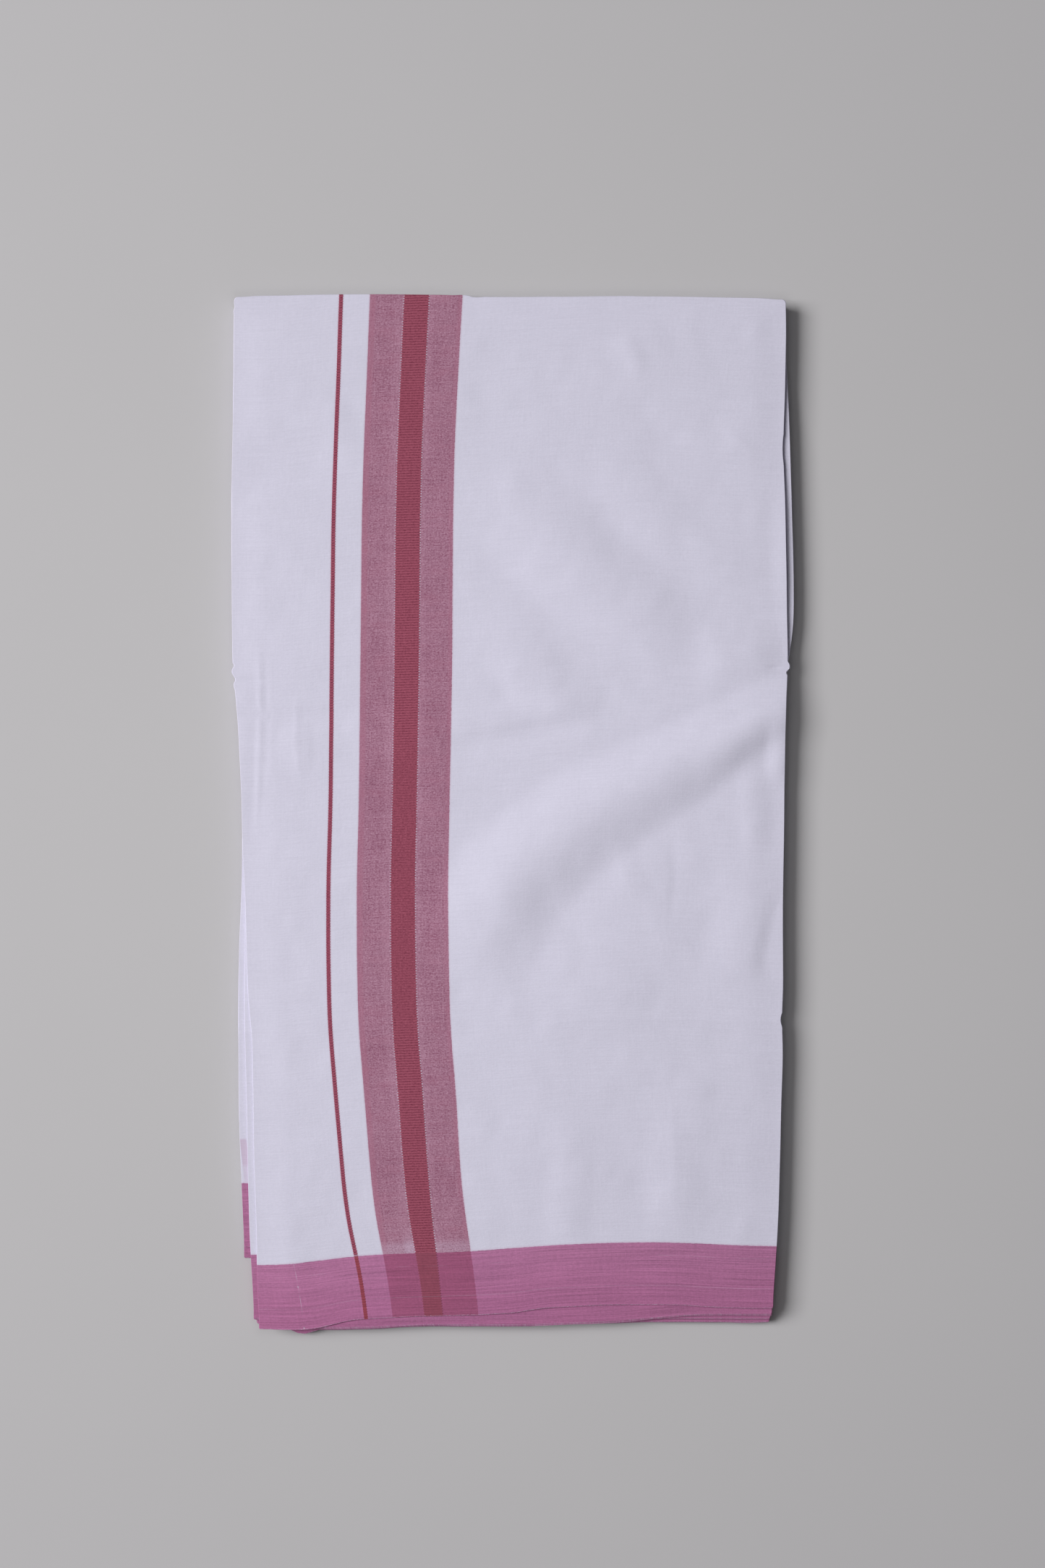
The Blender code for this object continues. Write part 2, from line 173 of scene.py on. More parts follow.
# Creases of the top panel, in mm: height (a trough is negative), the part of its path over which it
# grows, the share of its height left at the end, half width at each end, and the path
Crease = namedtuple("Crease", "height grows end wide_from wide_to path")
BROAD_CREASES = (
    Crease(4.1, 0.25, 0.45, 46, 22, (
        (-36, -110), (-16, -66), (0, -40), (21, -20), (41, -4), (57, 6), (84, 20), (105, 32), (123, 42),
        (140, 52), (165, 66),
    )),
    Crease(1.3, 0.35, 0.0, 60, 52, ((30, -150), (45, -110), (66, -78), (96, -58), (120, -48))),
    Crease(1.4, 0.5, 0.7, 18, 13, ((106, 26), (120, 34), (138, 46), (162, 60))),
    Crease(1.1, 0.4, 0.3, 28, 22, ((104, 86), (126, 94), (148, 99), (164, 102))),
    Crease(0.8, 0.5, 0.4, 15, 12, ((168, 215), (168, 160), (168, 118))),
    Crease(2.7, 0.5, 0.0, 38, 32, ((-28, 214), (10, 178), (45, 143), (84, 117), (122, 95))),
    Crease(1.0, 0.5, 0.0, 28, 24, ((-26, 132), (-8, 112), (21, 80), (54, 48))),
    Crease(0.8, 0.5, 0.0, 25, 22, ((42, 240), (66, 200), (96, 172), (130, 152), (154, 142))),
    Crease(0.7, 0.5, 0.0, 18, 15, ((34, -168), (35, -220), (33, -270))),
    Crease(0.9, 0.5, 0.0, 26, 20, ((98, -150), (100, -215), (97, -270))),
    Crease(0.6, 0.4, 0.0, 14, 11, ((142, 44), (146, 12), (149, -26))),
    Crease(0.9, 0.5, 0.0, 30, 22, ((146, -16), (141, -62), (130, -116))),
    Crease(-0.55, 0.5, 0.0, 12, 10, ((166, -40), (158, -70), (151, -106))),
    Crease(1.1, 0.4, 0.0, 11, 9, ((165, 66), (163, 44), (160, 14))),
    Crease(-0.6, 0.3, 1.0, 9, 9, ((-88, 59), (-120, 57), (-140, 58), (-168, 63))),
    Crease(0.35, 0.3, 0.0, 9, 8, ((-164, 96), (-163, 60), (-164, 20), (-165, -28))),
    Crease(-0.55, 0.4, 1.0, 24, 24, ((-92, 218), (-125, 211), (-170, 206))),
    Crease(0.5, 0.2, 0.0, 13, 11, ((-48, 54), (-12, 58), (22, 65), (60, 70))),
    Crease(-0.6, 0.2, 0.0, 11, 9, ((-48, 39), (-12, 43), (22, 51), (64, 56))),
)
FINE_CREASES = (
    Crease(0.2, 0.3, 0.0, 2.6, 2.4, ((-153.6, 114), (-152.8, 60), (-154, 16), (-155, -20))),
    Crease(-0.12, 0.3, 0.0, 2.6, 2.4, ((-149.2, 109), (-148.6, 50), (-150, 8))),
    Crease(0.13, 0.3, 0.0, 3.4, 3.0, ((-130, 78), (-131, 44), (-128, 15))),
    Crease(-0.16, 0.3, 0.0, 3.4, 2.4, ((-121, 74), (-120, 40), (-122, 18))),
    Crease(0.26, 0.3, 0.0, 3.4, 2.6, ((126, 236), (136, 227), (147, 220))),
    Crease(-0.17, 0.3, 0.0, 3.6, 3.0, ((97, -4), (98, -40), (96, -74))),
    Crease(0.13, 0.3, 0.0, 3.4, 3.0, ((96, -166), (98, -208), (97, -250))),
    Crease(0.36, 0.4, 0.0, 9.0, 8.0, ((64, 294), (74, 278), (79, 262))),
    Crease(-0.3, 0.4, 0.0, 9.0, 8.0, ((76, 240), (92, 230), (104, 224))),
    Crease(-0.35, 0.4, 0.6, 1.8, 2.2, ((154, 88), (157, 88.6), (162, 89))),
    Crease(-0.35, 0.4, 0.6, 1.8, 1.6, ((-148, 79), (-156, 80.5), (-168, 81.5))),
)

# The top panel swells by this lift over this reach in from its rim, and ripples by this height. A
# crease that fades does so over this last part of its path
SETTLED_LIFT = 0.6 * MM
RIM_REACH = 22.0 * MM
RIPPLE_HEIGHT = 0.5 * MM
CREASE_FADE = 0.3

# Where the lower fold bulges out past the panels above: how far it curls up, how clear of them the
# curl starts, and over what width it rises
FOLD_LIFT = 1.7 * MM
FOLD_CLEAR = 0.15 * MM
FOLD_CURL = 1.0 * MM

# Where the cross band's middle runs on the top panel and how wide it is there, in mm
Station = namedtuple("Station", "y x width")
BAND_PATH = (
    Station(-340, -42.5, 51.5), Station(-312, -45.6, 52.0), Station(-280, -49.2, 52.5),
    Station(-258, -53.2, 53.9), Station(-236, -56.7, 54.6), Station(-214, -58.9, 54.4),
    Station(-171, -61.8, 55.6), Station(-127, -65.5, 55.6), Station(-83, -66.4, 55.6),
    Station(-39, -66.6, 55.2), Station(5, -65.5, 54.9), Station(92, -64.2, 55.6),
    Station(180, -63.5, 55.2), Station(224, -62.4, 54.9), Station(267, -60.4, 55.2),
    Station(314, -58.2, 56.1), Station(342, -56.9, 56.6),
)

# Where the border's upper edge runs on the top panel, in mm
EdgePoint = namedtuple("EdgePoint", "x y")
BORDER_TOP = (
    EdgePoint(-165, -273.0), EdgePoint(-144, -273.4), EdgePoint(-126, -271.4), EdgePoint(-109, -269.2),
    EdgePoint(-91, -267.1), EdgePoint(-65, -265.9), EdgePoint(-30, -265.1), EdgePoint(5, -262.3),
    EdgePoint(40, -260.0), EdgePoint(75, -259.1), EdgePoint(101, -259.2), EdgePoint(119, -260.3),
    EdgePoint(145, -261.3), EdgePoint(170, -262.0),
)

# The third panel lies this much further along the loom length, past the cross band, and the other
# lower panels one panel more
PAST_THE_BAND = 0.5
FURTHER_ALONG = PAST_THE_BAND + PANEL_WIDTH

# Places in the weave map, in mm: U is from the cross band's middle, V from the selvedge. The stripe
# is pressed flat along one stretch, and widens by a little away from the selvedge
STRIPE_PRESSED_V = (176.0, 346.0)
STRIPE_WIDENS_V = (0.0, 90.0)
STRIPE_WIDENS_BY = 2.9

# Where the ground is a little darker, below a line across its right part, and where pink shows through the
# third panel
DARKER_GROUND_U = (88.0, 96.0)
DARKER_GROUND_V = (173.5, 174.7)
SHOWS_THROUGH_U = (393.2, 397.2)
SHOWS_FAINTLY_V = (39.0, 49.4)
SHOWS_CLEARLY_V = (49.4, 65.6)

# In the border: a light warp end, a broken one, and a missed pick that fades in and out again, with
# two knots
LIGHT_END_V = (11.95, 12.4)
BROKEN_END_V = 30.8
MISSED_PICK_U = -85.8
MISSED_PICK_STARTS_V = (6.0, 12.0)
MISSED_PICK_ENDS_V = (37.0, 40.0)
KNOT_U = -86.0
Knot = namedtuple("Knot", "v half")
KNOTS = (Knot(25.0, 0.3), Knot(0.8, 0.5))


def smooth(value):
    """Ease from 0 to 1."""
    value = np.clip(value, 0.0, 1.0)
    return value * value * (3.0 - 2.0 * value)


def waver(values, wave, seed):
    """A smooth irregular wave of one main length, mostly between -1 and 1, the same each run."""
    phases = np.random.RandomState(seed).uniform(0.0, math.tau, 4)
    waves = ((1.0, 0.45), (2.3, 0.3), (4.1, 0.2), (7.7, 0.12))
    return sum(
        share * np.sin(math.tau * turns * values / wave + phase)
        for (turns, share), phase in zip(waves, phases)
    )


def read_path(values, path, column):
    """One column of a table in mm, read smoothly along its first column."""
    table = np.array(path) * MM
    steps = (-14.0, -7.0, 0.0, 7.0, 14.0)
    return sum(np.interp(values + step * MM, table[:, 0], table[:, column]) for step in steps) / len(steps)


class Outline:
    """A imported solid's outline seen from above, as four edges that can be read anywhere."""

    def __init__(self, node, bumps=()):
        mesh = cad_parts[node].data
        points = np.array([vertex.co for vertex in mesh.vertices])
        ends = np.array([edge.vertices for edge in mesh.edges])
        self.starts = points[ends[:, 0]]
        self.stops = points[ends[:, 1]]
        self.bumps = bumps
        front_left, front_right, back_right, back_left = (
            points[np.argmax(points[:, 0] * out_x + points[:, 1] * out_y)]
            for out_x, out_y in ((-1, -1), (1, -1), (1, 1), (-1, 1))
        )
        self.edges = {
            "left": self.read_edge(1, front_left[1], back_left[1], np.min),
            "right": self.read_edge(1, front_right[1], back_right[1], np.max),
            "front": self.read_edge(0, front_left[0], front_right[0], np.min),
            "back": self.read_edge(0, back_left[0], back_right[0], np.max),
        }

    def read_edge(self, axis, start, stop, outermost):
        """Places along one edge, and how far out the solid reaches at each."""
        places = np.linspace(start + CORNER_CLEAR, stop - CORNER_CLEAR, EDGE_STATIONS)
        reach = np.array([outermost(self.crossings(axis, place)) for place in places])
        padded = np.pad(reach, len(EASING) // 2, mode="edge")
        eased = np.convolve(padded, EASING, mode="valid")
        return places, eased

    def crossings(self, axis, value):
        """Where the solid's edges cross a line of constant x or y."""
        first = self.starts[:, axis] - value
        last = self.stops[:, axis] - value
        met = first * last < 0.0
        part = first[met] / (first[met] - last[met])
        other = 1 - axis
        return self.starts[met, other] + part * (self.stops[met, other] - self.starts[met, other])

    def edge(self, name, along):
        """One edge's place, with its bumps."""
        places, reach = self.edges[name]
        place = np.interp(along, places, reach)
        outward = 1.0 if name in ("right", "back") else -1.0
        for bump in self.bumps:
            if bump.edge == name:
                near = 1.0 - ((along - bump.along * MM) / (bump.reach * MM)) ** 2
                place = place + outward * bump.out * MM * np.clip(near, 0.0, 1.0) ** 0.8
        return place

    def corner(self, side, end, side_draw, end_draw):
        """Where a side and an end meet, each drawn in."""
        x = self.edges[end][0][0 if side == "left" else -1]
        for _ in range(4):
            y = self.edge(end, x) + end_draw
            x = self.edge(side, y) + side_draw
        return float(x), float(y)

    def place(self, across, along, draws):
        """Points from fractions of width and depth, blended from the four drawn-in edges."""
        front_left = self.corner("left", "front", draws.left, draws.front)
        front_right = self.corner("right", "front", -draws.right, draws.front)
        back_right = self.corner("right", "back", -draws.right, -draws.back)
        back_left = self.corner("left", "back", draws.left, -draws.back)
        left_y = front_left[1] + (back_left[1] - front_left[1]) * along
        right_y = front_right[1] + (back_right[1] - front_right[1]) * along
        front_x = front_left[0] + (front_right[0] - front_left[0]) * across
        back_x = back_left[0] + (back_right[0] - back_left[0]) * across
        left_x = self.edge("left", left_y) + draws.left
        right_x = self.edge("right", right_y) - draws.right
        front_y = self.edge("front", front_x) + draws.front
        back_y = self.edge("back", back_x) - draws.back
        left_line = front_left[0] + (back_left[0] - front_left[0]) * along
        right_line = front_right[0] + (back_right[0] - front_right[0]) * along
        front_line = front_left[1] + (front_right[1] - front_left[1]) * across
        back_line = back_left[1] + (back_right[1] - back_left[1]) * across
        x = front_x + (back_x - front_x) * along
        x = x + (left_x - left_line) * (1.0 - across) + (right_x - right_line) * across
        y = left_y + (right_y - left_y) * across
        y = y + (front_y - front_line) * (1.0 - along) + (back_y - back_line) * along
        x, y = round_corner(x, y, front_left, -1, -1, OPEN_CORNER)
        x, y = round_corner(x, y, front_right, 1, -1, OPEN_CORNER)
        x, y = round_corner(x, y, back_right, 1, 1, FOLD_CORNER)
        return round_corner(x, y, back_left, -1, 1, FOLD_CORNER)


def round_corner(x, y, corner, out_x, out_y, radius):
    """Draw a square corner's points in to a quarter circle."""
    over_x = (x - corner[0]) * out_x / radius + 1.0
    over_y = (y - corner[1]) * out_y / radius + 1.0
    inside = (over_x > 0.0) & (over_y > 0.0)
    drawn = np.maximum(over_x, over_y) / (np.hypot(over_x, over_y) + 1e-9)
    rounded_x = corner[0] + (over_x * drawn - 1.0) * radius * out_x
    rounded_y = corner[1] + (over_y * drawn - 1.0) * radius * out_y
    return np.where(inside, rounded_x, x), np.where(inside, rounded_y, y)


def crease_lift(crease, x, y):
    """Height that one crease adds."""
    path = np.array(crease.path) * MM
    steps = np.diff(path, axis=0)
    lengths = np.hypot(steps[:, 0], steps[:, 1])
    walked = 0.0
    nearest = np.full_like(x, 1e9)
    fraction = np.zeros_like(x)
    for start, step, length in zip(path, steps, lengths):
        along = ((x - start[0]) * step[0] + (y - start[1]) * step[1]) / length ** 2
        along = np.clip(along, 0.0, 1.0)
        away = np.hypot(x - start[0] - along * step[0], y - start[1] - along * step[1])
        closer = away < nearest
        nearest = np.where(closer, away, nearest)
        fraction = np.where(closer, (walked + along * length) / lengths.sum(), fraction)
        walked += length
    width = (crease.wide_from + (crease.wide_to - crease.wide_from) * fraction) * MM
    fade = smooth(fraction / crease.grows)
    fade = fade * (crease.end + (1.0 - crease.end) * smooth((1.0 - fraction) / CREASE_FADE))
    return crease.height * MM * fade * np.clip(1.0 - (nearest / width) ** 2, 0.0, 1.0) ** 2


def top_relief(outline, x, y):
    """Height of the top panel's face over its rim."""
    reach = np.minimum.reduce((
        x - outline.edge("left", y),
        outline.edge("right", y) - x,
        outline.edge("back", x) - y,
        y - outline.edge("front", x),
    ))
    inside = smooth(reach / RIM_REACH)
    long_ripple = waver(x + 0.3 * y, wave=0.16, seed=5) * waver(y - 0.25 * x, wave=0.2, seed=6)
    short_ripple = waver(x - 0.5 * y, wave=0.11, seed=7) * waver(y + 0.4 * x, wave=0.12, seed=8)
    ripple = long_ripple + 0.6 * short_ripple
    lift = (SETTLED_LIFT + RIPPLE_HEIGHT * ripple) * inside
    for crease in BROAD_CREASES + FINE_CREASES:
        lift = lift + crease_lift(crease, x, y)
    return np.maximum(0.0, lift)


def fold_relief(_, x, y):
    """Height of the lower fold's face over its flat part."""
    above = (Outline("top_leaf", TOP_BUMPS), Outline("second_leaf"), Outline("third_leaf"))
    reach = np.maximum.reduce([panel.edge("right", y) for panel in above])
    return FOLD_LIFT * smooth((x - reach - FOLD_CLEAR) / FOLD_CURL)


def grid_fractions(length, spacing, windows):
    """Fractions of a length where grid lines run: close at both rims and in each window."""
    rim = [line * MM for line in RIM_LINES]
    lines = list(rim)
    while lines[-1] < length - rim[-1]:
        step = spacing
        for window in windows:
            if window.start * MM <= lines[-1] < window.stop * MM:
                step = window.spacing
        lines.append(lines[-1] + step * MM)
    lines[-1] = length - rim[-1]
    lines += [length - line for line in reversed(rim[:-1])]
    return np.array(lines) / length


def inset(noses, layer_height, layer, part):
    """How far in one side runs at a part of one layer's thickness."""
    first = 0
    for nose in noses:
        if layer < first + nose.layers:
            break
        first += nose.layers
    radius = nose.layers * layer_height / 2.0
    depth = (layer - first + part) / nose.layers
    round_off = radius * (1.0 - math.sqrt(max(0.0, 1.0 - (1.0 - 2.0 * depth) ** 2)))
    return nose.draw * MM + min(round_off, GROOVE_LIMIT)


class Stack:
    """One piece's mesh, made from the top down."""

    def __init__(self, node, piece, bumps=(), relief=None, across=(), along=(), shift=0.0, thickness=None):
        low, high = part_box(node)
        self.outline = Outline(node, bumps)
        self.piece = piece
        self.shift = shift
        self.base = low.z - GAP_FILLED if low.z > GAP_FILLED else low.z
        self.top = low.z + thickness if thickness else high.z + GAP_FILLED
        self.layer = (self.top - self.base) / piece.layers
        self.across = grid_fractions(high.x - low.x, piece.spacing, across)
        self.along = grid_fractions(high.y - low.y, piece.spacing, along)
        self.columns = len(self.across) - 1
        self.rows = len(self.along) - 1
        self.mesh = bmesh.new()
        self.ring = self.mesh.verts.layers.int.new("ring")
        self.weave = self.mesh.verts.layers.float_vector.new("weave place")
        self.walk_the_rim()
        self.lay_top(relief)
        edges = [edge for edge in self.mesh.edges if edge.is_boundary]
        for layer in range(piece.layers):
            for part in EDGE_ROWS:
                if layer and not part:
                    edges = self.add_row(edges, layer, part, self.rim_x, self.rim_y)
                if layer or part:
                    edges = self.add_row(edges, layer, part)
        self.close_underside(edges)

    def walk_the_rim(self):
        """Number the rim's grid points once round, anticlockwise from the front left."""
        columns, rows = self.columns, self.rows
        self.rim_column = np.concatenate((
            np.arange(columns), np.full(rows, columns), np.arange(columns, 0, -1), np.zeros(rows, int),
        ))
        self.rim_row = np.concatenate((
            np.zeros(columns, int), np.arange(rows), np.full(columns, rows), np.arange(rows, 0, -1),
        ))
        self.rim_across = self.across[self.rim_column]
        self.rim_along = self.along[self.rim_row]
        self.at_front = self.rim_row == 0
        self.at_back = self.rim_row == rows
        self.at_left = (self.rim_column == 0) & ~self.at_front & ~self.at_back
        self.at_right = (self.rim_column == columns) & ~self.at_front & ~self.at_back

    def draws(self, layer, part):
        """How far each side is drawn in at one row."""
        sides = self.piece.sides
        return Sides(*(inset(side, self.layer, layer, part) for side in sides))

    def weave_place(self, x, y, front_draw):
        """Where points lie in the cloth: from the cross band's middle, and from the selvedge."""
        middle = read_path(y, BAND_PATH, 1)
        width = read_path(y, BAND_PATH, 2)
        v = y - self.outline.edge("front", x) - front_draw
        if not self.shift:
            drawn = read_path(x, BORDER_TOP, 1) - self.outline.edge("front", x)
            v = np.where(v < drawn, v * BORDER_WIDTH / drawn, v + BORDER_WIDTH - drawn)
        return (x - middle) * BAND_WIDTH / width + self.shift, v

    def lay_top(self, relief):
        """Lay a grid into the outline and lift it along its creases."""
        bmesh.ops.create_grid(self.mesh, x_segments=self.columns, y_segments=self.rows, size=0.5)
        self.mesh.verts.ensure_lookup_table()
        flat = np.array([vert.co for vert in self.mesh.verts])
        column = np.rint((flat[:, 0] + 0.5) * self.columns).astype(int)
        row = np.rint((flat[:, 1] + 0.5) * self.rows).astype(int)
        x, y = self.outline.place(self.across[column], self.along[row], self.draws(0, 0.0))
        lift = relief(self.outline, x, y) if relief else np.zeros_like(x)
        u, v = self.weave_place(x, y, self.piece.sides.front[0].draw * MM)
        numbers = np.full((self.columns + 1, self.rows + 1), -1)
        numbers[self.rim_column, self.rim_row] = np.arange(len(self.rim_row))
        number = numbers[column, row]
        self.rim_lift = np.zeros(len(self.rim_row))
        self.rim_lift[number[number >= 0]] = lift[number >= 0]
        for index, vert in enumerate(self.mesh.verts):
            vert.co = (x[index], y[index], self.top + lift[index])
            vert[self.ring] = int(number[index])
            vert[self.weave] = (u[index], v[index], 0.0)

    def add_row(self, edges, layer, part, x=None, y=None):
        """Extrude the rim one row further down, to given places or to the layer's own edge."""
        depth = layer * self.layer + part * (self.layer - SEAM)
        if x is None:
            x, y = self.outline.place(self.rim_across, self.rim_along, self.draws(layer, part))
            if layer:
                x, y = self.wander(x, y, layer)
        else:
            depth -= SEAM / 2.0
        self.rim_x = x
        self.rim_y = y
        front = [nose.draw for nose in self.piece.sides.front for _ in range(nose.layers)][layer]
        u, v = self.weave_place(x, y, front * MM)
        u = u + np.where(self.at_right, depth, 0.0) - np.where(self.at_left, depth, 0.0)
        v = v + np.where(self.at_back, depth, 0.0) - np.where(self.at_front, part * self.layer, 0.0)
        z = self.top - depth + self.rim_lift
        return self.extrude(edges, x, y, z, u, v)

    def wander(self, x, y, layer):
        """Let a lower layer's edge stray a little from the one above it."""
        amount = self.piece.wander * MM
        along_end = np.minimum(self.rim_across, 1.0 - self.rim_across) * PANEL_WIDTH / WANDER_FADE
        along_side = np.minimum(self.rim_along, 1.0 - self.rim_along) * PANEL_DEPTH / WANDER_FADE
        at_side = self.at_left | self.at_right
        fade = smooth(np.where(at_side, along_side, along_end)) * amount
        sideways = waver(y, wave=0.21, seed=31 + layer) * fade * np.where(self.at_left, -1.0, 1.0)
        endways = waver(x, wave=0.19, seed=61 + layer) * fade * np.where(self.at_front, -1.0, 1.0)
        return x + np.where(at_side, sideways, 0.0), y + np.where(at_side, 0.0, endways)

    def extrude(self, edges, x, y, z, u, v):
        """Grow one row of faces and put its far points in place."""
        grown = bmesh.ops.extrude_edge_only(self.mesh, edges=edges)["geom"]
        for vert in (item for item in grown if isinstance(item, bmesh.types.BMVert)):
            number = vert[self.ring]
            vert.co = (x[number], y[number], z[number])
            vert[self.weave] = (u[number], v[number], 0.0)
        return [item for item in grown if isinstance(item, bmesh.types.BMEdge) and item.is_boundary]

    def close_underside(self, edges):
        """Turn in under the lowest layer and fill what is left."""
        draws = Sides(*(draw + UNDERSIDE_RING for draw in self.draws(self.piece.layers - 1, 1.0)))
        x, y = self.outline.place(self.rim_across, self.rim_along, draws)
        u, v = self.weave_place(x, y, 0.0)
        z = np.full_like(x, self.base)
        edges = self.extrude(edges, x, y, z, u, v)
        bmesh.ops.holes_fill(self.mesh, edges=edges, sides=0)

    def finish(self, name, material):
        """Turn the mesh into a piece that rides with the pile."""
        pattern = self.mesh.loops.layers.uv.new("weave")
        for face in self.mesh.faces:
            face.smooth = True
            for loop in face.loops:
                loop[pattern].uv = loop.vert[self.weave].xy
        bmesh.ops.recalc_face_normals(self.mesh, faces=self.mesh.faces)
        for edge in self.mesh.edges:
            edge.smooth = edge.calc_face_angle(0.0) < SHARPEST
        data = bpy.data.meshes.new(name)
        self.mesh.to_mesh(data)
        self.mesh.free()
        data.materials.append(material)
        piece = bpy.data.objects.new(name, data)
        bpy.context.scene.collection.objects.link(piece)
        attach(piece, "root")
        return piece


class Signal:
    """A shader socket in Python arithmetic: an operator adds its Math node, node adds any other."""

    def __init__(self, socket):
        self.socket = socket

    def node(self, kind, settings=None, inputs=None, output=0):
        """Add a node beside this one: its type, its settings, and the values or links of its sockets."""
        tree = self.socket.id_data
        made = tree.nodes.new(kind)
        for name, value in (settings or {}).items():
            setattr(made, name, value)
        for name, value in (inputs or {}).items():
            if isinstance(value, Signal):
                tree.links.new(value.socket, made.inputs[name])
            else:
                made.inputs[name].default_value = value
        return Signal(made.outputs[output])

    def maths(self, operation, first, second):
        return self.node("ShaderNodeMath", {"operation": operation}, {0: first, 1: second})

    def __add__(self, other):
        return self.maths("ADD", self, other)

    def __radd__(self, other):
        return self.maths("ADD", other, self)

    def __sub__(self, other):
        return self.maths("SUBTRACT", self, other)

    def __rsub__(self, other):
        return self.maths("SUBTRACT", other, self)

    def __mul__(self, other):
        return self.maths("MULTIPLY", self, other)

    def __rmul__(self, other):
        return self.maths("MULTIPLY", other, self)

    def __truediv__(self, other):
        return self.maths("DIVIDE", self, other)

    def __rtruediv__(self, other):
        return self.maths("DIVIDE", other, self)

    def __mod__(self, other):
        return self.maths("FLOORED_MODULO", self, other)

    def __abs__(self):
        return self.maths("ABSOLUTE", self, 0.0)

    def rise(self, low, high):
        """Ease from 0 at low to 1 at high."""
        return self.node(
            "ShaderNodeMapRange",
            {"interpolation_type": "SMOOTHSTEP"},
            {"Value": self, "From Min": low, "From Max": high},
        )

    def within(self, low, high, soft):
        """1 between low and high, easing to 0 over a soft edge."""
        return (self - low).rise(-soft, soft) * (high - self).rise(-soft, soft)

    def to(self, first, second):
        """Mix two colours by this value."""
        return self.node("ShaderNodeMix", {"data_type": "RGBA"}, {0: self, 6: first, 7: second}, 2)

    def tint(self, tone):
        """Scale a colour by this value."""
        return self.node("ShaderNodeVectorMath", {"operation": "SCALE"}, {0: tone, "Scale": self})

    def grain(self, down, across, along, seed, detail=2.0):
        """Noise from -1 to 1 over this and another coordinate, with its own length each way."""
        place = self.node("ShaderNodeCombineXYZ", None, {0: self / across, 1: down / along, 2: seed})
        noise = self.node(
            "ShaderNodeTexNoise",
            {"noise_dimensions": "3D"},
            {"Vector": place, "Scale": 1.0, "Detail": detail, "Roughness": 0.6},
        )
        return (noise - 0.5) * 2.0


def from_screen(red, green, blue):
    """A linear colour from its 0 to 255 screen values."""
    return tuple(
        value / 12.92 if value <= 0.04045 else ((value + 0.055) / 1.055) ** 2.4
        for value in (red / 255.0, green / 255.0, blue / 255.0)
    )


def opaque(colour):
    """A colour property as a socket takes it."""
    return (*colour, 1.0)


def measure(name, description, default):
    """A length that a user may change."""
    return FloatProperty(name=name, description=description, default=default, unit="LENGTH", min=0.0)


def wattage(name, description, default):
    """A light's power that a user may change."""
    return FloatProperty(name=name, description=description, default=default, unit="POWER", min=0.0)


def colour(name, description, screen):
    """A colour that a user may change."""
    return FloatVectorProperty(
        name=name, description=description, default=from_screen(*screen), subtype="COLOR", min=0.0, max=1.0,
    )


class DhotiWeave(bpy.types.PropertyGroup):
    """Sizes of the woven pattern."""

    stripe_start: measure("Stripe start", "From the cross band's left edge to its stripe", 20.6 * MM)
    stripe_stop: measure("Stripe end", "From the cross band's left edge to its stripe's far edge", 35.5 * MM)
    line_gap: measure("Line gap", "From the thin line's middle to the cross band", 17.3 * MM)
    line_width: measure("Line width", "Width of the thin red line", 2.5 * MM)
    rib_pitch: measure("Rib pitch", "From one rib of the stripe to the next", 1.56 * MM)
    rib_height: measure("Rib height", "How far the stripe's ribs stand up", 0.14 * MM)
    yarn_relief: measure("Yarn relief", "How far uneven yarns stand up in the plain weave", 0.035 * MM)


class DhotiColours(bpy.types.PropertyGroup):
    """Colours of the dyed yarns, and the painted shade of the stripe's rib grooves."""

    white: colour("White", "Bleached ground", (207, 204, 221))
    dyed: colour("Band, dyed yarn", "Darker yarn of the cross band's chambray", (131, 76, 101))
    undyed: colour("Band, undyed yarn", "Paler yarn of the cross band's chambray", (181, 137, 159))
    band_edge: colour("Band edge", "Redder first picks of the cross band", (166, 109, 132))
    stripe: colour("Stripe", "Crests of the ribbed stripe in the cross band", (160, 83, 103))
    # Painted shade: this darker red is given to the stripe's rib grooves, and to its darker yarns
    stripe_dark_yarn_and_groove_shade: colour("Stripe groove", "Grooves of the ribbed stripe", (112, 45, 65))
    line_crossing: colour("Line crossing", "Where the thin line runs over the border", (143, 66, 78))
    border: colour("Border", "Upper part of the selvedge border", (172, 111, 149))
    border_low: colour("Border at the selvedge", "Lower part of the border", (168, 104, 143))
    crossing: colour("Crossing", "Where the cross band runs over the border", (152, 84, 117))
    stripe_crossing: colour("Stripe crossing", "Where the stripe runs over the border", (139, 71, 90))
    fringe: colour("Border's first ends", "Pale lilac ends in and above the border", (200, 180, 203))


class DhotiStage(bpy.types.PropertyGroup):
    """Floor, lights and camera."""

    floor: colour("Floor", "Plain pale floor", (186, 184, 186))
    key_power: wattage("Key light", "Power of the light at the left", 364.0)
    top_power: wattage("Top light", "Power of the light overhead", 0.5)
    sky: FloatProperty(name="Sky", description="Strength of the even light all round", default=0.115)
    camera_height: measure("Camera height", "Height of the camera over the floor", 1.331)


